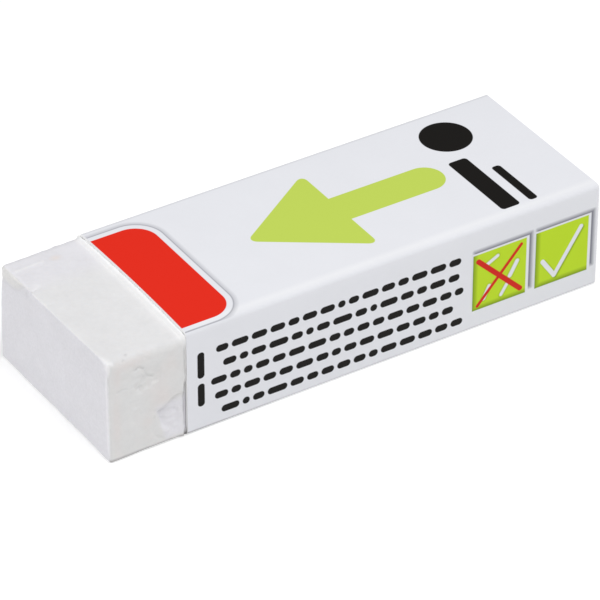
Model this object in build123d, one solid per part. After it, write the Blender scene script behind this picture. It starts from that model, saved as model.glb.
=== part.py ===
from build123d import *
import os
from math import atan2, degrees

# A plastic eraser: a soft vinyl block with its bare end worn and swollen, in a card sleeve that
# slides back along it. +X runs from the bare end towards the sleeve's far end, +Y across the
# block, +Z up. The origin is at the centre of the box round both pieces, at its bottom face.
# All lengths are in millimetres and all angles in degrees.

# Card sleeve: one sheet, folded round the block and glued along its back wall
sleeve_length = 52.4
sleeve_width = 22.0
sleeve_height = 13.15
card = 0.35
fold_radius = 0.5
lap_height = 8.5
lap_taper = 2.2
lap_reveal = 0.55

# Block: the length that the card holds
fit_gap = 0.1
held_radius = 0.5
far_radius = 0.4
far_recess = 0.4

# Block: its bare end, swollen where nothing squeezes it: to the card's outer face at its front,
# and past it at its back, most of all at the floor
bare_length = 9.6
end_skew = 0.15
neck_gap = 0.15
shoulder_run = 0.45
front_drop = 0.5
back_drop = 0.7
back_swell = 0.3
back_splay = 1.0
crown_radius = 1.0
floor_radius = 0.35
rubbed_radius = 0.3

# Wear on the bare end's front side: a flake torn off beside the card, and a nick higher up
flake_reach = 2.5
flake_depth = 0.45
flake_from_card = 1.95
flake_height = 3.05
nick_reach = 0.7
nick_depth = 0.3
nick_from_card = 5.6
nick_height = 10.5

# Places worked out from the sizes above
overall_length = bare_length + sleeve_length
mouth = bare_length - overall_length / 2
far_edge = mouth + sleeve_length
neck = mouth - neck_gap
shoulder = neck - shoulder_run
front = -(sleeve_width + back_splay) / 2
back = front + sleeve_width
middle = (front + back) / 2
flap_face = back - card
inside_front = front + card + fit_gap
inside_back = flap_face - card - fit_gap
inside_floor = card + fit_gap
inside_top = sleeve_height - card - fit_gap


def strip(*corners):
    """Section of a strip of card from its outer corner points, with a round fold at each."""
    with BuildSketch() as section:
        with BuildLine():
            FilletPolyline(*corners, radius=fold_radius)
            offset(amount=card, side=Side.LEFT)
        make_face()
    return section.sketch


def along_sleeve(section):
    """A section of card, drawn across and up, carried along the whole sleeve."""
    return extrude(Plane.YZ.offset(mouth) * section, amount=sleeve_length)


def glue_flap():
    """The sheet's last panel: it turns up inside the back wall, its two free corners cut off."""
    flap = along_sleeve(strip((middle, 0), (flap_face, 0), (flap_face, lap_height)))
    free_edge = flap.faces().sort_by(Axis.Z)[-1]
    return chamfer(free_edge.edges().filter_by(Axis.Y), length=lap_taper)


def card_sleeve():
    """One sheet, fold by fold: back wall, top, front wall, floor, and the glued flap.

    The back wall's cut edge stops a little above the floor's fold, over the flap.
    """
    back_edge = (back, lap_reveal)
    top_back = (back, sleeve_height)
    top_front = (front, sleeve_height)
    floor_front = (front, 0)
    floor_joint = (middle, 0)
    walls = along_sleeve(strip(back_edge, top_back, top_front, floor_front, floor_joint))
    return walls + glue_flap()


def block_section(station, outline, low_radius, high_radius, turn=0):
    """Four-sided section of the block, its two low and two high corners rounded.

    The plane it lies on may be turned about its upright.
    """
    with BuildSketch() as section:
        with BuildLine():
            Polyline(*outline, close=True)
        make_face()
        by_height = section.vertices().sort_by(Axis.Y)
        fillet(by_height[:2], radius=low_radius)
        by_height = section.vertices().sort_by(Axis.Y)
        fillet(by_height[-2:], radius=high_radius)
    return Plane.YZ.offset(station).rotated((0, 0, turn)) * section.sketch


def held_section(station):
    """Section of the block where the card holds it."""
    outline = (
        (inside_front, inside_floor),
        (inside_back, inside_floor),
        (inside_back, inside_top),
        (inside_front, inside_top),
    )
    return block_section(station, outline, held_radius, held_radius)


def swollen_section(station, top_front, top_back, turn=0):
    """Section of the block out of the card: its front and floor flush with the card's.

    Its back stands past the card, a little at the top and more at the floor.
    """
    outline = (
        (front, 0),
        (back + back_splay, 0),
        (back + back_swell, top_back),
        (front, top_front),
    )
    return block_section(station, outline, floor_radius, crown_radius, turn)


def held_length():
    """Straight length inside the card, its far end rounded over."""
    body = extrude(held_section(neck), amount=far_edge - far_recess - neck)
    far_face = body.faces().sort_by(Axis.X)[-1]
    return fillet(far_face.edges(), radius=far_radius)


def bare_end():
    """Swollen length: a short shoulder at the neck, then a run to the skewed, rounded face."""
    turn = degrees(atan2(end_skew, sleeve_width))
    face_station = mouth - bare_length + end_skew / 2
    top_front, top_back = sleeve_height - front_drop, sleeve_height - back_drop
    neck_cut = held_section(neck)
    shoulder_cut = swollen_section(shoulder, inside_top, inside_top)
    face_cut = swollen_section(face_station, top_front, top_back, turn)
    run = loft([shoulder_cut, face_cut], ruled=True)
    rubbing_face = run.faces().sort_by(Axis.X)[0]
    return loft([neck_cut, shoulder_cut], ruled=True) + fillet(
        rubbing_face.edges(), radius=rubbed_radius
    )


def scoop(station, height, reach, depth):
    """Ball that cuts a round hollow of the given reach and depth into the front side."""
    ball = (reach**2 + depth**2) / (2 * depth)
    return Pos(station, front + depth - ball, height) * Sphere(ball)


def eraser_block():
    """The whole block, less the flake and the nick that wear has taken from its front side."""
    flake = scoop(mouth - flake_from_card, flake_height, flake_reach, flake_depth)
    nick = scoop(mouth - nick_from_card, nick_height, nick_reach, nick_depth)
    return held_length() + bare_end() - flake - nick


if __name__ == "__main__":
    os.makedirs("parts", exist_ok=True)
    export_step(eraser_block(), "parts/eraser_block.step")
    export_step(card_sleeve(), "parts/card_sleeve.step")
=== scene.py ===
from math import hypot, pi, radians

import bpy
import numpy as np
from mathutils import Matrix, Vector


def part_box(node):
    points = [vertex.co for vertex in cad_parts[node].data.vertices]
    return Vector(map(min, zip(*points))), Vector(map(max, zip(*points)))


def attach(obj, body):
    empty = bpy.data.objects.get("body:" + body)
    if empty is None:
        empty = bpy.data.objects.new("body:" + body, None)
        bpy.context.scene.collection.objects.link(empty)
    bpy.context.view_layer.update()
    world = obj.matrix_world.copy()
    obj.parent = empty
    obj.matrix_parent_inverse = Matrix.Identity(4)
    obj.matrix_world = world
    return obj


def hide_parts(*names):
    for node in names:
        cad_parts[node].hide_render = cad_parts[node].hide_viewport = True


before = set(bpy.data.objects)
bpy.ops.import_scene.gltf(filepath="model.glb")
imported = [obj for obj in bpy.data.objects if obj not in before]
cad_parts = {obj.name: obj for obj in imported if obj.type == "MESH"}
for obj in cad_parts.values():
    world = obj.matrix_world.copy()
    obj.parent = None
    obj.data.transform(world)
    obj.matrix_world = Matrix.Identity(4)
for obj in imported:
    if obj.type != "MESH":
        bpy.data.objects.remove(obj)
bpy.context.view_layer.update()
MM = 0.001


# ---- Card sleeve ----
# One sheet of thin coated card, printed flat, creased, folded round the block and glued to
# itself along the back wall. It grips by its snug fit and slides back along the block.
SLEEVE_LOW, SLEEVE_HIGH = (np.array(corner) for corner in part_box("card_sleeve"))
CARD = 0.35 * MM
FOLD_RADIUS = 0.5 * MM
LAP_HEIGHT = 8.5 * MM
LAP_REVEAL = 0.55 * MM
LAP_TAPER = 2.2 * MM
GLUE_LINE = 0.02 * MM
FOLD_SAG = 0.02 * MM
SOFT_FOLD = 0.08 * MM
SOFT_FOLD_WIDTH = 1.1 * MM
MOUTH_BOW = 0.2 * MM
EDGE_WAVER = 0.015 * MM
MOUTH_WAVE = 3.1 * MM
FAR_WAVE = 4.3 * MM
ROUND_STEP = 0.35 * MM
FOLD_STEPS = 9
STATIONS = 110
CROWDING = 0.8
# Print coordinates of bare card, in metres, far below any on the printed face
UNPRINTED = -0.2
CUT_EDGE = -0.4


def folded_path(corners, radius, run_step, fold_steps):
    """Points, outward normals and distances along a sheet's outer face.

    The path runs straight between corner points and turns each one on a quarter circle of the
    given radius. The normal is the direction of travel turned a quarter turn to the right.
    """
    corners = np.array(corners, float)
    points, normals = [], []
    start = corners[0]
    for i in range(1, len(corners)):
        travel = corners[i] - corners[i - 1]
        travel /= np.linalg.norm(travel)
        last = i == len(corners) - 1
        end = corners[i] if last else corners[i] - radius * travel
        steps = max(2, int(np.linalg.norm(end - start) / run_step))
        share = np.linspace(0, 1, steps, endpoint=last)[:, None]
        normal = np.array([travel[1], -travel[0]])
        points.append(start + share * (end - start))
        normals.append(np.repeat(normal[None], steps, 0))
        if last:
            break
        following = corners[i + 1] - corners[i]
        following /= np.linalg.norm(following)
        centre = end - radius * normal
        angle = np.linspace(0, pi / 2, fold_steps, endpoint=False)[:, None]
        turned = np.cos(angle) * normal + np.sin(angle) * travel
        points.append(centre + radius * turned)
        normals.append(turned)
        start = corners[i] + radius * following
    points, normals = np.concatenate(points), np.concatenate(normals)
    steps = np.linalg.norm(np.diff(points, axis=0), axis=1)
    return points, normals, np.concatenate([[0], np.cumsum(steps)])


def quads(index):
    """Four corner indices for each cell of a grid of vertex indices."""
    a, b, c, d = index[:-1, :-1], index[1:, :-1], index[1:, 1:], index[:-1, 1:]
    return np.stack([a, b, c, d], -1).reshape(-1, 4)


def eased(low, high, value):
    """Zero below low, one above high, and 3t^2 - 2t^3 between them. Low may be the greater."""
    t = np.clip((value - low) / (high - low), 0, 1)
    return t * t * (3 - 2 * t)


def new_piece(name, vertices, faces):
    """A mesh object at the origin from arrays of places and of four-cornered faces."""
    mesh = bpy.data.meshes.new(name)
    mesh.vertices.add(len(vertices))
    mesh.vertices.foreach_set("co", vertices.astype(np.float32).ravel())
    mesh.loops.add(faces.size)
    mesh.loops.foreach_set("vertex_index", faces.astype(np.int32).ravel())
    mesh.polygons.add(len(faces))
    mesh.polygons.foreach_set("loop_start", np.arange(0, faces.size, 4, dtype=np.int32))
    mesh.polygons.foreach_set("loop_total", np.full(len(faces), 4, np.int32))
    mesh.update(calc_edges=True)
    mesh.validate()
    piece = bpy.data.objects.new(name, mesh)
    bpy.context.scene.collection.objects.link(piece)
    return piece


def sleeve_surface():
    """Vertices, faces and print coordinates of the folded sheet.

    Going round, the outer face follows the folded path and the inner face lies one card
    thickness inside it. Along, the stations crowd towards the two ends by a sine. Towards each
    fold a panel sags by the sixth power of its distance from the panel's middle, and halfway
    along the sleeve the front fold is pressed softer by a bell curve. The two cut ends waver by
    slow sines of the distance round, and the top's edge at the mouth is bowed in by a parabola.
    """
    back, front, top = SLEEVE_HIGH[1], SLEEVE_LOW[1], SLEEVE_HIGH[2]
    middle, half_width = (back + front) / 2, (back - front) / 2
    flap_face = back - CARD - GLUE_LINE
    corners = [
        (back, LAP_REVEAL),
        (back, top),
        (front, top),
        (front, 0),
        (flap_face, 0),
        (flap_face, LAP_HEIGHT),
    ]
    path, normal, distance = folded_path(corners, FOLD_RADIUS, ROUND_STEP, FOLD_STEPS)
    even = np.linspace(0, 1, STATIONS)
    share = even - CROWDING * np.sin(2 * pi * even) / (2 * pi)

    across, up = (path[:, 0] - middle) / half_width, path[:, 1] / top * 2 - 1
    from_middle = np.minimum(np.abs(across), np.abs(up))
    middle_of_fold = np.argmin(np.hypot(path[:, 0] - front, path[:, 1] - top))
    near_fold = np.exp(-(((distance - distance[middle_of_fold]) / SOFT_FOLD_WIDTH) ** 2))
    halfway = eased(0.1, 0.4, share) * eased(0.85, 0.55, share)
    lift = -FOLD_SAG * from_middle[:, None] ** 6 - SOFT_FOLD * near_fold[:, None] * halfway

    on_top = eased(0.7, 1.0, normal[:, 1])
    bow = MOUTH_BOW * on_top * (1 - across**2)
    mouth = bow + EDGE_WAVER * (1 + np.sin(distance / MOUTH_WAVE))
    far = EDGE_WAVER * (1 + np.sin(distance / FAR_WAVE + 1.0))
    on_flap = distance > distance[-1] - LAP_HEIGHT + FOLD_RADIUS
    taper = on_flap * np.clip(path[:, 1] - LAP_HEIGHT + LAP_TAPER, 0, LAP_TAPER)
    start = SLEEVE_LOW[0] + np.maximum(mouth, taper)
    stop = SLEEVE_HIGH[0] - np.maximum(far, taper)
    along = start[:, None] + (stop - start)[:, None] * share[None, :]

    def face_at(depth):
        """The grid of places that lie the given depth inside the outer face."""
        spot = path[:, None, :] + normal[:, None, :] * (lift - depth)[:, :, None]
        return np.concatenate([along[:, :, None], spot], 2)

    rows, columns = along.shape
    outer = np.arange(rows * columns).reshape(rows, columns)
    inner = outer + rows * columns
    vertices = np.concatenate([face_at(0).reshape(-1, 3), face_at(CARD).reshape(-1, 3)])
    cut_strips = [
        np.stack([outer[:, 0], inner[:, 0]], 1),
        np.stack([inner[:, -1], outer[:, -1]], 1),
        np.stack([inner[0], outer[0]], 1),
        np.stack([outer[-1], inner[-1]], 1),
    ]
    cut_edges = np.concatenate([quads(strip) for strip in cut_strips])
    printed_faces = quads(outer)
    faces = np.concatenate([printed_faces, quads(inner.T), cut_edges])

    round_it = distance[middle_of_fold] - distance
    sheet = np.stack(np.broadcast_arrays(along - SLEEVE_LOW[0], round_it[:, None]), 2)
    corner_uv = np.full(faces.shape + (2,), UNPRINTED)
    corner_uv[: len(printed_faces)] = sheet.reshape(-1, 2)[printed_faces]
    corner_uv[-len(cut_edges):] = CUT_EDGE
    return vertices, faces, corner_uv


vertices, faces, corner_uv = sleeve_surface()
sleeve = new_piece("printed_card_sleeve", vertices, faces)
sheet_map = sleeve.data.uv_layers.new(name="sheet")
sheet_map.data.foreach_set("uv", corner_uv.astype(np.float32).ravel())
sleeve.data.shade_smooth()
sleeve.data.set_sharp_from_angle(angle=radians(40))


class Term:
    """A shader socket that sums can be written with: each sign adds one Math node."""

    def __init__(self, recipe, socket):
        self.recipe, self.socket = recipe, socket

    def __add__(self, other):
        return self.recipe.maths("ADD", self, other)

    def __radd__(self, other):
        return self.recipe.maths("ADD", other, self)

    def __sub__(self, other):
        return self.recipe.maths("SUBTRACT", self, other)

    def __rsub__(self, other):
        return self.recipe.maths("SUBTRACT", other, self)

    def __mul__(self, other):
        return self.recipe.maths("MULTIPLY", self, other)

    def __rmul__(self, other):
        return self.recipe.maths("MULTIPLY", other, self)

    def __truediv__(self, other):
        return self.recipe.maths("DIVIDE", self, other)

    def __abs__(self):
        return self.recipe.maths("ABSOLUTE", self)


class Recipe:
    """The nodes of one new material, with one call for any node and short ones for sums."""

    def __init__(self, name):
        self.material = bpy.data.materials.new(name)
        self.material.use_nodes = True
        self.tree = self.material.node_tree
        self.tree.nodes.clear()

    def node(self, kind, settings=None, inputs=None):
        """Adds a node of a kind, sets its settings, then fills or links its sockets."""
        made = self.tree.nodes.new("ShaderNode" + kind)
        for key, value in (settings or {}).items():
            setattr(made, key, value)
        for key, value in (inputs or {}).items():
            if isinstance(value, Term):
                self.tree.links.new(value.socket, made.inputs[key])
            elif made.inputs[key].type == "RGBA" and len(value) == 3:
                made.inputs[key].default_value = (*value, 1.0)
            else:
                made.inputs[key].default_value = value
        return made

    def out(self, made, key=0):
        """One output of a node, as a term."""
        return Term(self, made.outputs[key])

    def maths(self, operation, *values):
        """One Math node on up to three values."""
        inputs = dict(enumerate(values))
        return self.out(self.node("Math", {"operation": operation}, inputs))

    def least(self, first, *others):
        """The least of any number of values."""
        for other in others:
            first = self.maths("MINIMUM", first, other)
        return first

    def most(self, first, *others):
        """The greatest of any number of values."""
        for other in others:
            first = self.maths("MAXIMUM", first, other)
        return first

    def length(self, a, b):
        """The long side of a right triangle with sides a and b."""
        return self.maths("SQRT", a * a + b * b)

    def clamped(self, value):
        """The value held between zero and one."""
        return self.least(self.most(value, 0.0), 1.0)

    def inside(self, field, softness):
        """One where the field is negative, zero where it is positive, soft between."""
        return self.clamped(0.5 - field / softness)

    def mix(self, factor, below, above):
        """Colour above laid over colour below by the factor."""
        # A Mix node keeps sockets for every data type, and these are the ones for colours
        factor_in, below_in, above_in, colour_out = 0, 6, 7, 2
        inputs = {factor_in: factor, below_in: below, above_in: above}
        return self.out(self.node("Mix", {"data_type": "RGBA"}, inputs), colour_out)

    def noise(self, place, scale, detail=2.0, roughness=0.5):
        """Noise from zero to one at a place, with scale grains to the metre."""
        inputs = {"Vector": place, "Scale": scale, "Detail": detail, "Roughness": roughness}
        return self.out(self.node("TexNoise", None, inputs), "Fac")

    def place(self):
        """The place of each point in the object's own frame, in metres."""
        return self.out(self.node("TexCoord"), "Object")

    def finish(self, surface, height, depth):
        """Joins the surface's settings and a bump of the given depth to the output."""
        bump = self.node("Bump", None, {"Height": height, "Distance": depth})
        surface = {**surface, "Normal": self.out(bump)}
        shader = self.out(self.node("BsdfPrincipled", None, surface))
        self.node("OutputMaterial", None, {"Surface": shader})
        return self.material


class Print:
    """Flat shapes on the sheet, in millimetres: x along it from the mouth, y across it.

    Each shape is the distance outside its outline, negative within it.
    """

    def __init__(self, recipe, x, y):
        self.recipe, self.x, self.y = recipe, x, y

    def moved(self, dx, dy):
        """The same sheet for shapes that are shifted by dx and dy."""
        return Print(self.recipe, self.x - dx, self.y - dy)

    def slab(self, x_low, x_high, y_low, y_high, corner=0.0):
        """A rectangle with round corners."""
        r = self.recipe
        over_x = abs(self.x - (x_low + x_high) / 2) - ((x_high - x_low) / 2 - corner)
        over_y = abs(self.y - (y_low + y_high) / 2) - ((y_high - y_low) / 2 - corner)
        outside = r.length(r.most(over_x, 0.0), r.most(over_y, 0.0))
        return outside + r.least(r.most(over_x, over_y), 0.0) - corner

    def disc(self, x, y, radius):
        """A full circle."""
        return self.recipe.length(self.x - x, self.y - y) - radius

    def stroke(self, start, end, width):
        """A straight stroke with round ends."""
        run_x, run_y = end[0] - start[0], end[1] - start[1]
        off_x, off_y = self.x - start[0], self.y - start[1]
        share = self.recipe.clamped((off_x * run_x + off_y * run_y) / (run_x**2 + run_y**2))
        return self.recipe.length(off_x - share * run_x, off_y - share * run_y) - width / 2

    def wedge(self, corners, rounding):
        """A triangle, counter-clockwise, its corners turned on the given radius."""
        r = self.recipe
        sides = []
        for (x0, y0), (x1, y1) in zip(corners, corners[1:] + corners[:1]):
            run = hypot(x1 - x0, y1 - y0)
            side = (self.x - x0) * ((y1 - y0) / run) - (self.y - y0) * ((x1 - x0) / run)
            sides.append(side + rounding)
        reach = [r.most(side, 0.0) for side in sides]
        corner = r.most(*(r.length(a, b) for a, b in zip(reach, reach[1:] + reach[:1])))
        return corner + r.least(r.most(*sides), 0.0) - rounding

    def ink(self, field, softness=0.07):
        """One on a shape and zero off it, with an edge as soft as the given width."""
        return self.recipe.inside(field, softness)


CARD_WHITE = (0.765, 0.772, 0.808)
BOARD_GREY = (0.66, 0.65, 0.62)
CUT_WHITE = (0.93, 0.93, 0.93)
RED = (0.745, 0.023, 0.0095)
LIME = (0.512, 0.645, 0.100)
SQUARE_LIME = (0.500, 0.700, 0.025)
SQUARE_RED = (0.62, 0.020, 0.012)
DEEP_LIME = (0.150, 0.250, 0.010)
BLACK = (0.008, 0.007, 0.006)
SHADE = (0.13, 0.13, 0.17)
# Colour of the painted shade on the card's folds
FOLD_SHADE = (0.10, 0.10, 0.10)


def tinted(colour, factor):
    """A colour made darker or brighter."""
    return tuple(part * factor for part in colour)


def top_print(r, colour, top):
    """A red tab at the mouth, a lime arrow, and black bars with a disc beside them.

    The tab has a white rim and a thin grey line round it, and stops at the mouth's bowed edge.
    """
    half_width = (SLEEVE_HIGH[1] - SLEEVE_LOW[1]) / 2 / MM
    tab = top.slab(-6.0, 6.75, 0.95, 19.9, 2.8)
    rim = tab - 0.75
    fade = r.clamped(1 - abs(rim - 0.05) / 0.55) * r.inside(0.0 - rim, 0.12)
    line = r.inside(abs(rim) - 0.07, 0.16)
    across = (top.y - half_width) / half_width
    cut_edge = 2 * EDGE_WAVER / MM + MOUTH_BOW / MM * (1 - across * across)
    beyond_mouth = r.inside(cut_edge - top.x, 0.1)
    colour = r.mix(r.most(fade * 0.35, line * 0.7) * beyond_mouth, colour, SHADE)
    colour = r.mix(top.ink(tab) * beyond_mouth, colour, RED)
    head = top.wedge([(14.2, half_width), (26.0, 3.1), (26.0, 18.8)], 1.1)
    shaft = top.stroke((24.0, half_width), (36.95, half_width), 4.6)
    colour = r.mix(top.ink(r.least(head, shaft)), colour, LIME)
    thick = top.slab(40.7, 43.1, 1.5, 12.2, 0.45)
    thin = top.slab(44.3, 45.4, 1.5, 9.05, 0.4)
    marks = r.least(thick, thin, top.disc(43.6, 16.8, 3.0))
    return r.mix(top.ink(marks), colour, BLACK)


def word_bars(r, side):
    """Five lines of short round-ended bars whose lengths are as uneven as words'.

    Each cell of a one-dimensional Voronoi pattern along a line holds one bar.
    """
    pitch, lowest, lines = 1.98, 0.77, 5
    half_height, half_gap = 0.43, 0.2
    stretch, shift_per_line = 2.05, 17.31
    middle_of_line, half_length = 18.6, 15.4
    line = (side.y - lowest) / pitch
    number = r.maths("FLOOR", line)
    from_middle = abs(line - number - 0.5) * pitch
    run = side.x / stretch + number * shift_per_line
    settings = {"voronoi_dimensions": "1D"}
    inputs = {"W": run, "Scale": 1.0, "Randomness": 0.85}
    nearest = r.node("TexVoronoi", settings, inputs)
    between = r.node("TexVoronoi", {**settings, "feature": "DISTANCE_TO_EDGE"}, inputs)
    bar_at = (r.out(nearest, "W") - number * shift_per_line) * stretch
    from_edge = r.out(between, "Distance") * stretch
    past_end = r.most(half_height + half_gap - from_edge, 0.0)
    bar = r.length(past_end, from_middle) - half_height
    off_line = abs(bar_at - middle_of_line) - half_length
    off_lines = abs(line - lines / 2) - lines / 2
    return r.most(bar, off_line, off_lines)


def lime_square(r, colour, side, x_low, motif):
    """One lime square with a white border, a soft shade behind it and a motif on it."""
    width, y_low, y_high = 7.46, 2.29, 9.83
    x_high = x_low + width
    behind = side.moved(0.42, 0.34).slab(x_low - 0.25, x_high, y_low + 0.2, y_high, 0.1)
    colour = r.mix(side.ink(behind, 0.55) * 0.85, colour, SHADE)
    colour = r.mix(side.ink(side.slab(x_low, x_high, y_low, y_high)), colour, CARD_WHITE)
    field = side.slab(x_low + 0.12, x_high - 0.36, y_low + 0.1, y_high - 0.22)
    sunk = side.moved(0.3, 0.3).slab(x_low + 0.12, x_high + 1.0, y_low + 0.1, y_high + 1.0)
    lime = r.mix(side.ink(sunk, 0.8), DEEP_LIME, SQUARE_LIME)
    colour = r.mix(side.ink(field), colour, lime)
    return motif(r, colour, side, x_low)


def crossed_crumbs(r, colour, side, x):
    """Loose white crumbs under a red cross."""
    crumbs = r.least(
        side.stroke((x + 1.6, 3.6), (x + 2.3, 5.0), 0.5),
        side.stroke((x + 3.9, 3.3), (x + 4.6, 4.4), 0.45),
        side.stroke((x + 5.0, 5.4), (x + 5.9, 7.0), 0.55),
        side.stroke((x + 1.9, 7.9), (x + 3.3, 8.6), 0.45),
    )
    shade = side.ink(crumbs - 0.1, 0.3) * 0.5
    colour = r.mix(shade, colour, DEEP_LIME)
    colour = r.mix(side.ink(crumbs, 0.12), colour, CARD_WHITE)
    rising = side.stroke((x + 0.8, 2.9), (x + 6.4, 9.0), 0.42)
    falling = side.stroke((x + 0.8, 8.7), (x + 6.4, 3.2), 0.62)
    cross = r.least(rising, falling)
    return r.mix(side.ink(cross), colour, SQUARE_RED)


def white_tick(r, colour, side, x):
    """A white tick with a thin shade under it."""
    low, foot, high = (x + 1.1, 5.6), (x + 2.7, 3.3), (x + 6.1, 8.5)
    width = 0.55
    shifted = side.moved(0.14, -0.14)
    under = r.least(shifted.stroke(low, foot, width), shifted.stroke(foot, high, width))
    colour = r.mix(side.ink(under, 0.3) * 0.8, colour, DEEP_LIME)
    tick = r.least(side.stroke(low, foot, width), side.stroke(foot, high, width))
    return r.mix(side.ink(tick), colour, CARD_WHITE)


def side_print(r, colour, side):
    """Lines of small bars, an upright row of bars by the mouth, and two lime squares."""
    colour = r.mix(side.ink(word_bars(r, side)), colour, BLACK)
    upright = r.least(side.slab(1.3, 2.15, 3.1, 6.0, 0.4), side.slab(1.3, 2.15, 6.7, 10.0, 0.4))
    colour = r.mix(side.ink(upright), colour, BLACK)
    for x_low, motif in ((35.84, crossed_crumbs), (44.05, white_tick)):
        colour = lime_square(r, colour, side, x_low, motif)
    return colour


def coated_card(name):
    """Coated white card with its print, a bare grey inside and pale cut edges.

    One print coordinate runs along from the mouth. The other goes round: it is zero on the fold
    between the top and the front wall, above zero over the top and below zero on the wall.
    """
    r = Recipe(name)
    sheet = r.out(r.node("UVMap", {"uv_map": "sheet"}), "UV")
    split = r.node("SeparateXYZ", None, {0: sheet})
    along, round_it = r.out(split, 0) / MM, r.out(split, 1) / MM
    rise = FOLD_RADIUS / MM * (1 - pi / 4)
    top = Print(r, along, round_it + rise)
    side = Print(r, along, round_it + (SLEEVE_HIGH[2] / MM - rise))

    place = r.place()
    cloud = r.noise(place, 160.0, 3.0, 0.6)
    grain = r.noise(place, 1900.0, 3.0, 0.6)
    shade = r.clamped(cloud * 0.7 + grain * 0.3)
    white = r.mix(shade, tinted(CARD_WHITE, 0.97), tinted(CARD_WHITE, 1.03))
    # A painted highlight along the front fold: the card is made paler there, but not close to the
    # mouth
    fold_highlight = r.inside(abs(round_it - 0.75) - 0.45, 0.7) * r.clamped(along * 0.4)
    white = r.mix(fold_highlight * 0.3, white, CUT_WHITE)
    on_wall = r.inside(round_it, 0.1)
    colour = r.mix(on_wall, top_print(r, white, top), side_print(r, white, side))
    # Painted shade on the lower fold, darkest near the mouth, and a little on the fold at the back
    # of the top
    low_fold_shade_strength = 0.2 + r.clamped(1.0 - along / 14.0) * 0.45
    low_fold_shade = r.inside(side.y - 0.3, 0.3) * r.inside(-1.0 - side.y, 0.5) * low_fold_shade_strength
    back_fold_shade = r.inside(21.4 - top.y, 0.3) * r.inside(top.y - 22.3, 0.5)
    colour = r.mix(r.most(low_fold_shade, back_fold_shade * (0.06 + cloud * 0.16)), colour, FOLD_SHADE)

    board = r.mix(grain, tinted(BOARD_GREY, 0.9), tinted(BOARD_GREY, 1.12))
    # The printed face ends near -43, and the bare faces' coordinates are -200 and -400
    past_flap, past_unprinted = -60.0, -300.0
    printed = r.inside(past_flap - round_it, 1.0)
    cut = r.inside(round_it - past_unprinted, 1.0)
    colour = r.mix(cut, r.mix(printed, board, colour), CUT_WHITE)
    surface = {
        "Base Color": colour,
        "Roughness": 0.46 + (1 - printed) * 0.35 + shade * 0.1,
        "Specular IOR Level": 0.1,
    }
    height = r.noise(place, 130.0, 2.0) * 3.0 + grain * 0.12
    return r.finish(surface, height, 0.02 * MM)


sleeve.data.materials.append(coated_card("coated_card_with_print"))
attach(sleeve, "sleeve")
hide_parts("card_sleeve")


# ---- Eraser block ----
# One moulded block of soft white vinyl. Where the card holds it its sides are flat. The bare
# end has swollen past the card at its back, and rubbing and handling have torn and rounded it.
BLOCK_LOW, BLOCK_HIGH = (np.array(corner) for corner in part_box("eraser_block"))
MOUTH = SLEEVE_LOW[0]
BARE_LENGTH = MOUTH - BLOCK_LOW[0]
FIT_GAP = 0.1 * MM
END_SKEW = 0.15 * MM
BACK_SWELL = 0.3 * MM
BACK_SPLAY = 0.7 * MM
LIP = 0.09 * MM
# Height of the bare end's top at its front and at its back, at the neck and at the rubbed face
NECK_TOP = np.array([12.53, 12.63]) * MM
END_TOP = np.array([12.69, 12.44]) * MM
# The plain box that is carried to the block's form
PLAIN_WIDTH = 22.0 * MM
PLAIN_HEIGHT = 13.0 * MM


def rungs_along(low, high, spans):
    """Places along one side of the box: close together at its two ends, even steps between.

    A span is the place where it stops and the size of its steps.
    """
    near_edge = np.array([0.0, 0.05, 0.1, 0.15, 0.21, 0.28, 0.38]) * MM
    runs, start = [low + near_edge], low + near_edge[-1]
    for stop, step in spans + [(high - near_edge[-1], spans[-1][1])]:
        runs.append(np.linspace(start, stop, int((stop - start) / step) + 2)[1:])
        start = stop
    return np.concatenate(runs + [high - near_edge[-2::-1]])


def lattice_noise(points, cell, seed):
    """Smooth noise from -1 to 1: random values on a cubic lattice, eased between its corners.

    The values repeat every 32 cells along each axis.
    """
    repeat = 32
    values = np.random.default_rng(seed).uniform(-1, 1, (repeat, repeat, repeat))
    place = points / cell
    low = np.floor(place).astype(int)
    t = eased(0, 1, place - low)
    total = np.zeros(len(points))
    for corner in np.ndindex(2, 2, 2):
        weight = np.prod(np.where(np.array(corner) == 1, t, 1 - t), axis=1)
        spot = (low + corner) % repeat
        total += weight * values[spot[:, 0], spot[:, 1], spot[:, 2]]
    return total


def edge_radius(q, half):
    """The radius that the box's edges have near each point q of its sharp form.

    The floor's edges are small, and at the front a little softer towards the card. The crown is
    handled round at the front and less at the back, where it is squeezed square beside the
    card. The rubbed face's edges are crisp, save at its two top corners: the back one is rolled
    over and the front one is rounded off.
    """
    from_end = (q[:, 0] + half[0]) / MM
    y, z = (q[:, 1] + half[1]) / MM, (q[:, 2] + half[2]) / MM
    crown = 1.05 - 0.5 * eased(3.0, 19.0, y)
    crown += (0.55 - crown) * eased(8.6, 9.5, from_end)
    crown -= 0.2 * eased(9.2, 9.5, from_end) * eased(19.0, 21.0, y)
    at_end = 0.2 + 0.3 * eased(16.4, 17.2, y) * eased(8.0, 12.0, z)
    at_end += (0.08 + 0.42 * eased(11.0, 12.2, z)) * eased(2.2, 0.8, y)
    upper = at_end + (crown - at_end) * eased(0.3, 1.6, from_end)
    front_floor = 0.3 + 0.26 * eased(0.5, 7.0, from_end) - 0.3 * eased(8.3, 9.1, from_end)
    floor = 0.38 + (front_floor - 0.38) * eased(3.0, 1.0, y)
    free = floor + (upper - floor) * eased(0.6, 3.0, z)
    held = 0.5
    return (free + (held - free) * eased(9.6, 10.6, from_end)) * MM


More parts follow.
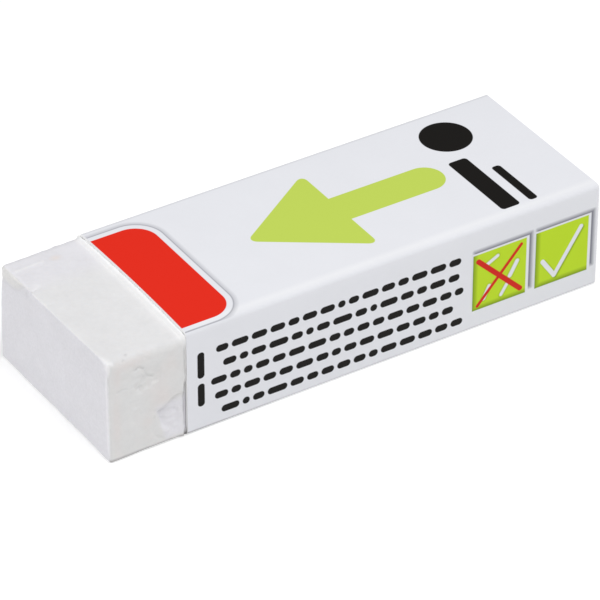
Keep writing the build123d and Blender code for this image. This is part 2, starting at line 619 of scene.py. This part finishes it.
def rounded_box(half, rungs):
    """Vertices, normals and faces of a box with rounded edges.

    Each of the six sides is a grid of points q on a sharp box. A point's centre c is q held
    inside the box shrunk by the radius there, and it lands at c plus the radius times the unit
    direction from c to q. Neighbouring grids share their edge rungs, so they merge closed.
    """
    sides, faces, count = [], [], 0
    for axis in range(3):
        for side in (-1, 1):
            u_axis, v_axis = [a for a in range(3) if a != axis]
            u, v = np.meshgrid(rungs[u_axis], rungs[v_axis], indexing="ij")
            q = np.zeros(u.shape + (3,))
            q[..., u_axis], q[..., v_axis], q[..., axis] = u, v, side * half[axis]
            index = np.arange(u.size).reshape(u.shape) + count
            count += u.size
            flip = (side > 0) == (axis == 1)
            faces.append(quads(index.T if flip else index))
            sides.append(q.reshape(-1, 3))
    q, faces = np.concatenate(sides), np.concatenate(faces)
    same_place = 0.001 * MM
    key = np.round(q / same_place).astype(np.int64)
    _, first, joined = np.unique(key, axis=0, return_index=True, return_inverse=True)
    q, faces = q[first], joined.ravel()[faces]
    radius = edge_radius(q, half)[:, None]
    centre = np.clip(q, -(half - radius), half - radius)
    direction = q - centre
    direction /= np.linalg.norm(direction, axis=1, keepdims=True)
    return centre + radius * direction, direction, faces


def block_form(places, half):
    """Carries the plain box to the block's form.

    x is kept, less a lean across the bare face that fades to the neck. y and z run between the
    flat sides that the card holds and the wider sides of the bare end, by an eased step at the
    neck. High up and at the floor the step nearly fills up to the card, and between them it
    stands a little off it. The bare end's top is a ruled surface from the neck to the face,
    with a small lip where it comes out of the card, and its back slopes out to the floor.
    """
    x = places[:, 0] + (BLOCK_LOW[0] + BLOCK_HIGH[0]) / 2
    y_share, z_share = places[:, 1] / half[1] * 0.5 + 0.5, places[:, 2] / half[2] * 0.5 + 0.5
    out, z = MOUTH - x, places[:, 2] + half[2]
    low_down = eased(7.6 * MM, 6.0 * MM, z)
    gap = 0.2 * MM + 0.18 * MM * low_down
    run = 0.2 * MM - 0.1 * MM * low_down
    filled = (0.7 + 0.18 * eased(7.8 * MM, 8.8 * MM, z)) * (1 - low_down)
    filled += 0.12 * eased(11.4 * MM, 12.2 * MM, z)
    filled = np.maximum(filled, 0.8 * eased(0.6 * MM, 0.3 * MM, z))
    side_step = filled + (1 - filled) * eased(gap, gap + run, out)
    side_step *= eased(0.0, 0.04 * MM, out)
    top_step = eased(0.12 * MM, 0.5 * MM, out)
    reach = np.clip(out / BARE_LENGTH, 0, 1)
    held_low = np.array([SLEEVE_LOW[1] + CARD, CARD]) + FIT_GAP
    held_high = np.array([SLEEVE_HIGH[1] - 2 * CARD, SLEEVE_HIGH[2] - CARD]) - FIT_GAP
    held_y = held_low[0] + (held_high[0] - held_low[0]) * y_share
    held_z = held_low[1] + (held_high[1] - held_low[1]) * z_share
    held_z += LIP * eased(-0.5 * MM, -0.35 * MM, out) * eased(0.86, 0.98, z_share)
    bare_width = SLEEVE_HIGH[1] - SLEEVE_LOW[1] + BACK_SWELL + BACK_SPLAY * (1 - z_share)
    bare_y = SLEEVE_LOW[1] + bare_width * y_share
    neck_top = NECK_TOP[0] + (NECK_TOP[1] - NECK_TOP[0]) * y_share
    end_top = END_TOP[0] + (END_TOP[1] - END_TOP[0]) * y_share
    bare_z = z_share * (neck_top + (end_top - neck_top) * reach)
    up_step = side_step + (top_step - side_step) * z_share
    formed_y = held_y + (bare_y - held_y) * side_step
    formed_z = held_z + (bare_z - held_z) * up_step
    return np.stack([x + END_SKEW * (1 - y_share) * reach, formed_y, formed_z], 1)


def groove(x, z, points, width):
    """One along a line through the given points, falling off by a bell curve of the width."""
    nearest = np.full(len(x), np.inf)
    for (x0, z0), (x1, z1) in zip(points[:-1], points[1:]):
        run_x, run_z = x1 - x0, z1 - z0
        share = np.clip(((x - x0) * run_x + (z - z0) * run_z) / (run_x**2 + run_z**2), 0, 1)
        nearest = np.minimum(nearest, np.hypot(x - x0 - share * run_x, z - z0 - share * run_z))
    return np.exp(-((nearest / width) ** 2))


def bell(x, z, x_middle, z_middle, x_width, z_width):
    """A bell-shaped hill of height one."""
    return np.exp(-(((x - x_middle) / x_width) ** 2) - ((z - z_middle) / z_width) ** 2)


def flake_floor(x, z, rough, fine):
    """Depth of the flake that has broken away beside the card, in millimetres.

    Its upper edge is a step along z = 5.35 - 0.58 tanh((x - 2.05) / 0.55), and its floor rises
    unevenly to the skin again below, at the side and, partly, towards the card.
    """
    edge = 5.35 - 0.58 * np.tanh((x - 2.05) / 0.55) + 0.06 * fine
    under = eased(0.0, 0.3, edge - z)
    from_side = 4.0 - 0.25 * (4.8 - z) - x + 0.1 * rough
    beside = eased(0.0, 0.7, from_side) * (0.3 + 0.7 * eased(0.2, 1.5, x))
    floor = 0.34 * eased(0.4, 3.6, z + 0.25 * rough) ** 0.8
    lip = -0.14 * bell(x, z, 2.63, 1.6, 0.42, 0.3) + 0.08 * bell(x, z, 3.0, 3.05, 0.6, 0.45)
    inner = 0.05 * groove(x, z, [(0.3, 3.25), (2.32, 4.1)], 0.13)
    foot = 0.06 * groove(x, z, [(3.84, 1.37), (3.03, 0.79)], 0.14)
    return under * beside * (floor + lip + inner + 0.035 * fine) + foot


def from_card(points):
    """Distances out of the card, in from the sleeve's front and up from the floor, in mm."""
    x, y = MOUTH - points[:, 0], points[:, 1] - SLEEVE_LOW[1]
    return x / MM, y / MM, points[:, 2] / MM


def torn_front(x, z, points):
    """Depth of the wear on the front side, in millimetres; x runs from the card outwards."""
    rough = lattice_noise(points, 0.9 * MM, 5)
    fine = lattice_noise(points, 0.36 * MM, 6)
    grit = lattice_noise(points, 0.24 * MM, 7)
    nick = 0.13 * groove(x, z, [(6.1, 10.72), (5.68, 10.97), (5.24, 10.62)], 0.13)
    tear = 0.11 * groove(x, z, [(5.05, 10.22), (4.62, 9.45), (4.0, 9.16)], 0.13)
    lump = 0.1 * groove(x, z, [(5.75, 10.5), (5.3, 10.15), (4.95, 9.75)], 0.22)
    # The skin above a slanting, broken line lies lower than the skin below it
    line = z - (8.54 - 0.365 * (x - 3.43)) + 0.14 * fine + 0.25 * rough
    along = eased(2.9, 3.6, x) * eased(6.9, 5.6, x)
    step = 0.13 * along * eased(-0.2, 0.2, line) * eased(2.7, 0.8, line)
    plateau = eased(4.5, 4.9, x) * eased(6.6, 6.1, x) * eased(7.8, 8.2, z) * eased(10.4, 9.9, z)
    pecked = (0.05 * fine + 0.05 * grit) * plateau
    marks = 0.06 * groove(x, z, [(5.7, 8.8), (5.56, 7.96)], 0.1)
    crack = 0.05 * groove(x, z, [(8.35, 8.68), (7.8, 8.86), (7.25, 8.82)], 0.12)
    ledges = 0.07 * bell(x, z, 7.54, 6.47, 0.4, 0.18) + 0.07 * bell(x, z, 6.55, 7.05, 0.4, 0.18)
    ledges += 0.05 * bell(x, z, 6.13, 5.78, 0.35, 0.18)
    pits = 0.14 * bell(x, z, 7.35, 12.3, 0.16, 0.14) + 0.08 * bell(x, z, 4.82, 11.8, 0.15, 0.12)
    worn = nick + tear - lump + step + pecked + marks + crack - ledges + pits
    return worn + 0.03 * rough + 0.012 * fine + flake_floor(x, z, rough, fine)


def painted_crack_shade(x, z):
    """How dark the painted shade is in the cracks and the neck of the front side."""
    nick = 0.3 * groove(x, z, [(6.05, 10.8), (5.65, 11.0), (5.26, 10.66)], 0.13)
    tear = 0.3 * groove(x, z, [(5.01, 10.2), (4.62, 9.5), (4.03, 9.2)], 0.12)
    crack = 0.25 * groove(x, z, [(8.3, 8.76), (7.29, 8.88)], 0.12)
    flake = 0.3 * groove(x, z, [(3.9, 4.8), (2.84, 4.86), (2.29, 5.15), (1.61, 5.75)], 0.14)
    pit = 0.5 * bell(x, z, 7.35, 12.35, 0.16, 0.14) + 0.4 * bell(x, z, 3.93, 4.0, 0.16, 0.18)
    from_neck = x - 0.16 - 0.08 * eased(8.2, 8.9, z)
    neck = 1.1 * np.exp(-((from_neck / 0.11) ** 2)) * eased(7.5, 8.5, z) * eased(12.0, 10.9, z)
    beside_flake = 1.3 * np.exp(-(((x - 0.33) / 0.12) ** 2))
    beside_flake *= eased(2.5, 3.0, z) * eased(5.8, 5.2, z)
    return np.maximum.reduce([nick, tear, crack, flake, pit, neck, beside_flake])


def above_roll(y, z):
    """How far a point of the rubbed face is above the lower edge of its rolled corner, in mm.

    That edge is nearly level at the back and rises to the top of the face in a tanh curve.
    """
    return z - (11.75 - 0.95 * np.tanh((y - 17.8) / 1.1) - 0.06 * (y - 19.5))


def block_wear(points, normals):
    """How far each point of the bare end is worn back along its normal, in metres."""
    x, y, z = from_card(points)
    on_front = eased(0.55, 0.9, -normals[:, 1])
    on_top = eased(0.6, 0.95, normals[:, 2])
    turning = eased(0.05, 0.3, 1 - np.abs(normals).max(1))
    slow = lattice_noise(points, 3.3 * MM, 1)
    middle = lattice_noise(points, 1.2 * MM, 2)
    quick = lattice_noise(points, 0.5 * MM, 3)
    depth = 0.035 + 0.02 * slow + 0.012 * middle + 0.006 * quick
    depth += torn_front(x, z, points) * on_front
    ragged = 0.45 + 0.75 * eased(15.8, 16.4, y) * eased(10.0, 12.0, z)
    depth += turning * (0.03 + 0.06 * middle + 0.06 * quick) * eased(0.5, 3.0, z) * ragged
    # A notch in the rubbed face's top edge where the rolled corner begins, and a small nick
    notch = 0.35 * bell(y, z, 16.3, 12.6, 0.35, 0.5) + 0.12 * bell(y, z, 12.9, 12.7, 0.18, 0.25)
    depth += notch * eased(7.5, 9.0, x)
    # The rolled corner hangs over the face by a soft step
    over_face = eased(8.9, 9.2, x) * eased(0.5, 0.9, -normals[:, 0])
    hang = above_roll(y, z)
    depth += 0.07 * np.exp(-((hang / 0.25) ** 2)) * eased(16.3, 17.3, y) * over_face
    # The upright edge between the rubbed face and the front is dented high up, proud low down
    upright = turning * eased(2.0, 0.8, y) * eased(8.4, 9.0, x)
    depth += upright * (0.1 * np.exp(-(((z - 10.4) / 0.4) ** 2)) - 0.05 * np.exp(-((z - 3.4) ** 2)))
    # A low ridge along the top beside the back edge
    depth -= 0.1 * groove(x, y, [(9.3, 20.1), (5.9, 20.2)], 0.2) * on_top
    depth += 0.07 * groove(x, y, [(9.3, 19.6), (5.9, 19.75)], 0.15) * on_top
    return depth * eased(0.02, 0.3, x) * MM


def worn_block():
    """Vertices, normals and faces of the block: the plain box formed, worn and held in bounds.

    The rungs along it stand close together at the neck and far apart in the card.
    """
    half = np.array([BLOCK_HIGH[0] - BLOCK_LOW[0], PLAIN_WIDTH, PLAIN_HEIGHT]) / 2
    neck = BARE_LENGTH - half[0]
    near_end = half - 1 * MM
    spans = [
        [(neck - 0.66 * MM, 0.14 * MM), (neck + 0.1 * MM, 0.04 * MM), (near_end[0], 2.6 * MM)],
        [(near_end[1], 0.19 * MM)],
        [(near_end[2], 0.13 * MM)],
    ]
    rungs = [rungs_along(-half[axis], half[axis], spans[axis]) for axis in range(3)]
    places, normals, faces = rounded_box(half, rungs)
    formed = block_form(places, half)
    formed -= normals * block_wear(formed, normals)[:, None]
    low, high = [BLOCK_LOW[0], BLOCK_LOW[1], 0], [BLOCK_HIGH[0], BLOCK_HIGH[1], SLEEVE_HIGH[2]]
    return np.clip(formed, low, high), normals, faces


def vinyl_masks(points, normals):
    """How strongly each look of the vinyl shows at each vertex, by the look's name."""
    x, y, z = from_card(points)
    facing_end, facing_front, facing_up = -normals[:, 0], -normals[:, 1], normals[:, 2]
    on_front = eased(0.55, 0.9, facing_front)
    at_rubbed_face = eased(8.0, 8.7, x) * (facing_end > 0.0)

    # A painted highlight on the edges of the rubbed face, most of all on the upright one at its
    # front
    turning = eased(0.04, 0.2, 1 - np.abs(normals).max(1))
    above_floor = eased(0.3, 1.0, z)
    painted_highlight = turning * at_rubbed_face * above_floor * (0.12 + 0.4 * eased(2.2, 0.8, y))
    ragged = 0.16 * lattice_noise(points, 0.8 * MM, 11)
    beside_upright = eased(0.65, 0.3, y + ragged) * at_rubbed_face * above_floor
    beside_upright *= eased(0.3, 0.7, facing_end) * (0.5 + 0.5 * eased(11.1, 11.8, z))
    painted_highlight = np.maximum(painted_highlight, beside_upright) * eased(17.0, 16.2, y)

    # Skin on the front that fingers have warmed, and the flake's clean floor
    fingered = bell(x, z, 3.0, 6.3, 1.2, 1.7) + bell(x, z, 8.5, 5.0, 0.5, 3.4)
    fingered += bell(x, z, 6.8, 11.7, 1.6, 0.6) + 0.8 * bell(x, z, 1.9, 10.2, 0.8, 1.2)
    fingered += 0.8 * bell(x, z, 4.7, 3.6, 0.7, 0.6) + 0.9 * bell(x, z, 8.3, 10.7, 0.45, 1.3)
    in_flake = eased(4.1, 3.3, x + 0.25 * (4.8 - z)) * eased(5.6, 4.6, z) * eased(0.3, 0.9, z)

    # Painted shade in the front's cracks, under the rolled corner, in one pit of the crown, along
    # the top's back edge and along the floor, where it also fills the foot of the neck
    hang = above_roll(y, z)
    shade_under_roll = 0.25 * np.exp(-(((hang - 0.1) / 0.4) ** 2)) * eased(16.3, 17.3, y)
    shade_beside_roll = 0.45 * bell(y, z, 16.7, 11.8, 0.3, 0.45)
    painted_dark = painted_crack_shade(x, z) * on_front
    painted_dark += (shade_under_roll + shade_beside_roll) * at_rubbed_face * eased(0.5, 0.9, facing_end)
    painted_dark += 1.2 * bell(x, y, 6.83, 0.75, 0.16, 0.13) * (z > 6.0)
    painted_dark += 0.4 * eased(21.3, 21.9, y) * eased(0.2, 0.5, facing_up)
    floor_contact_shade = eased(0.6, 0.2, z) * 2.0 + 2.6 * eased(1.0, 0.6, z) * eased(0.6, 0.3, x)
    floor_contact_shade *= eased(0.05, 0.3, facing_front) * eased(9.5, 9.3, x)

    # The rolled corner, and a painted highlight on the lip that the card squeezes up and on the
    # ridge along the top
    rolled = eased(-0.4, 0.7, hang) * eased(15.7, 16.7, y) * at_rubbed_face
    lip = eased(1.0, 0.0, x) * eased(-0.3, -0.1, x) * eased(10.8, 12.3, z)
    ridge_highlight = 0.6 * groove(x, y, [(8.9, 20.05), (5.6, 20.2)], 0.17) * eased(0.5, 0.9, facing_up)
    return {
        "painted_highlight": painted_highlight,
        "fresh": in_flake * on_front,
        "handled": np.minimum(fingered, 1) * on_front,
        # Faces that look up, which the vinyl paints lighter as painted light
        "upper": eased(0.4, 0.9, facing_up),
        # Painted shade, which darkens the vinyl's colour
        "painted_shade": np.maximum(painted_dark, floor_contact_shade),
        "rubbed": eased(0.5, 0.9, facing_end) * eased(7.5, 8.5, x),
        "rolled": rolled * eased(0.95, 0.6, facing_up),
        "lip": np.maximum(lip, ridge_highlight),
    }


vertices, normals, faces = worn_block()
block = new_piece("worn_vinyl_block", vertices, faces)
block.data.shade_smooth()
block_masks = vinyl_masks(vertices, normals)
for mask, values in block_masks.items():
    layer = block.data.attributes.new(mask, "FLOAT", "POINT")
    layer.data.foreach_set("value", values.astype(np.float32))

VINYL = (0.714, 0.711, 0.708)
LIGHTER_TOP = (0.740, 0.737, 0.742)
HANDLED = (0.735, 0.680, 0.665)
FRESH = (0.745, 0.737, 0.777)
RUBBED = (0.712, 0.705, 0.738)
# Colour of the painted highlight on the rubbed face's edges
HIGHLIGHT_WHITE = (0.895, 0.89, 0.905)
ROLLED = (0.712, 0.703, 0.684)
COOL = (0.738, 0.730, 0.760)
GLEAM_WHITE = (0.83, 0.83, 0.83)
MARK = (0.80, 0.62, 0.47)


def soft_vinyl(name, mask_names):
    """White vinyl: cloudy, warmer where it is handled, greyer where it is rubbed, painted lighter
    on faces that look up, with painted shade in its hollows and painted highlights on its edges.
    """
    r = Recipe(name)
    place = r.place()
    split = r.node("SeparateXYZ", None, {0: place})
    out_of_card = MOUTH / MM - r.out(split, 0) / MM
    from_front = r.out(split, 1) / MM - SLEEVE_LOW[1] / MM
    height = r.out(split, 2) / MM
    masks = {}
    for mask in mask_names:
        masks[mask] = r.out(r.node("Attribute", {"attribute_name": mask}), "Fac")
    cloud = r.noise(place, 330.0, 3.0, 0.6)
    mottle = r.noise(place, 1700.0, 3.0, 0.65)
    grain = r.noise(place, 3300.0, 2.0, 0.6)
    front = r.clamped((1.1 - from_front) * 1.4)
    patch = r.clamped((r.noise(place, 480.0, 2.0) - 0.5) * 5.0 + 0.15)
    # Painted light: faces that look up get a lighter colour than the sides, cooler towards the back
    upper_colour = r.mix(r.clamped((from_front - 15.0) * 0.4), LIGHTER_TOP, COOL)
    vinyl = r.mix(masks["upper"], VINYL, upper_colour)
    colour = r.mix(front * patch * 0.15 + masks["handled"] * 0.5, vinyl, HANDLED)
    colour = r.mix(masks["rubbed"], colour, RUBBED)
    colour = r.mix(masks["fresh"] * 0.8, colour, FRESH)
    colour = r.mix(masks["rolled"] * 0.8, colour, ROLLED)
    # Painted highlight on the lip at the mouth and on the ridge along the top
    colour = r.mix(masks["lip"], colour, GLEAM_WHITE)
    # One small tan mark on the top, beside its back edge
    spot = r.length(out_of_card - 4.1, (from_front - 20.05) * 1.2)
    spot = r.inside(spot - 0.4, 0.9) * r.inside(11.5 - height, 0.5)
    colour = r.mix(spot * 0.3, colour, MARK)
    uneven = (cloud - 0.5) * 0.09 + (mottle - 0.5) * 0.09 + masks["rubbed"] * (grain - 0.5) * 0.14
    # Painted shade in the cracks, the neck, under the rolled corner and along the floor darkens the
    # colour
    shade = (1.0 + uneven) * (1.0 - masks["painted_shade"] * 0.2)
    shaded = r.node("VectorMath", {"operation": "SCALE"}, {0: colour, "Scale": shade})
    # Painted highlight along the rubbed face's edges
    colour = r.mix(masks["painted_highlight"] * (0.4 + mottle * 0.8), r.out(shaded), HIGHLIGHT_WHITE)
    surface = {
        "Base Color": colour,
        "Roughness": 0.5 + mottle * 0.18,
        "Specular IOR Level": 0.25,
        "Subsurface Weight": 0.1,
        "Subsurface Radius": (1.0, 0.9, 0.8),
        "Subsurface Scale": 0.5 * MM,
    }
    return r.finish(surface, mottle + cloud * 2.0, 0.03 * MM)


block.data.materials.append(soft_vinyl("soft_white_vinyl", block_masks))
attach(block, "block")
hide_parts("eraser_block")


# ---- Table, lights and camera ----
# A plain white table, a broad soft light over the object and one off its bare end, even light
# from all round, and a camera with a long lens that looks down at the bare end's front corner.
AIM = Vector((-3.111, -4.611, 6.5)) * MM
AZIMUTH, ELEVATION, ROLL = radians(-32.356), radians(34.865), radians(0.077)
DISTANCE = 469.9 * MM
LENS = 263.3
ROOM_COLOUR = (0.98, 0.985, 1.0, 1.0)
ROOM_STRENGTH = 0.285
TABLE_REACH = 1.5
TABLE_DROP = 0.02 * MM


def white_table():
    """A wide square of matt white table, faintly lit from within so that it stays white."""
    corners = np.array([(-1, -1, 0), (1, -1, 0), (1, 1, 0), (-1, 1, 0)]) * TABLE_REACH
    table = new_piece("table_top", corners - [0, 0, TABLE_DROP], np.array([[0, 1, 2, 3]]))
    r = Recipe("white_table")
    surface = {
        "Base Color": (0.6, 0.6, 0.6),
        "Roughness": 0.9,
        "Specular IOR Level": 0.0,
        "Emission Color": (1.0, 1.0, 1.0),
        "Emission Strength": 0.47,
    }
    table.data.materials.append(r.finish(surface, r.noise(r.place(), 40.0), 0.001 * MM))


def soft_light(name, place, size, power):
    """A square soft light that faces the object, its size in metres and its power in watts."""
    lamp = bpy.data.lights.new(name, "AREA")
    lamp.size, lamp.energy = size, power
    light = bpy.data.objects.new(name, lamp)
    bpy.context.scene.collection.objects.link(light)
    light.location = place
    light.rotation_euler = (AIM - Vector(place)).to_track_quat("-Z", "Y").to_euler()


def studio_camera():
    """A camera turned by azimuth and elevation about the aim, then rolled about its own axis."""
    camera = bpy.data.objects.new("camera", bpy.data.cameras.new("camera"))
    bpy.context.scene.collection.objects.link(camera)
    turn = (
        Matrix.Rotation(AZIMUTH, 4, "Z")
        @ Matrix.Rotation(pi / 2 - ELEVATION, 4, "X")
        @ Matrix.Rotation(ROLL, 4, "Z")
    )
    camera.matrix_world = Matrix.Translation(AIM + turn.to_3x3() @ Vector((0, 0, DISTANCE))) @ turn
    camera.data.lens = LENS
    camera.data.clip_start = 0.01
    bpy.context.scene.camera = camera


def room_light():
    """Even, faintly cool light from all round."""
    world = bpy.data.worlds.new("studio")
    world.use_nodes = True
    background = world.node_tree.nodes["Background"]
    background.inputs["Color"].default_value = ROOM_COLOUR
    background.inputs["Strength"].default_value = ROOM_STRENGTH
    bpy.context.scene.world = world


white_table()
soft_light("overhead", (0.02, -0.17, 0.43), 0.25, 1.51)
soft_light("side", (-0.5, 0.3, 0.3), 0.35, 1.54)
room_light()
studio_camera()
bpy.context.scene.view_settings.view_transform = "Standard"
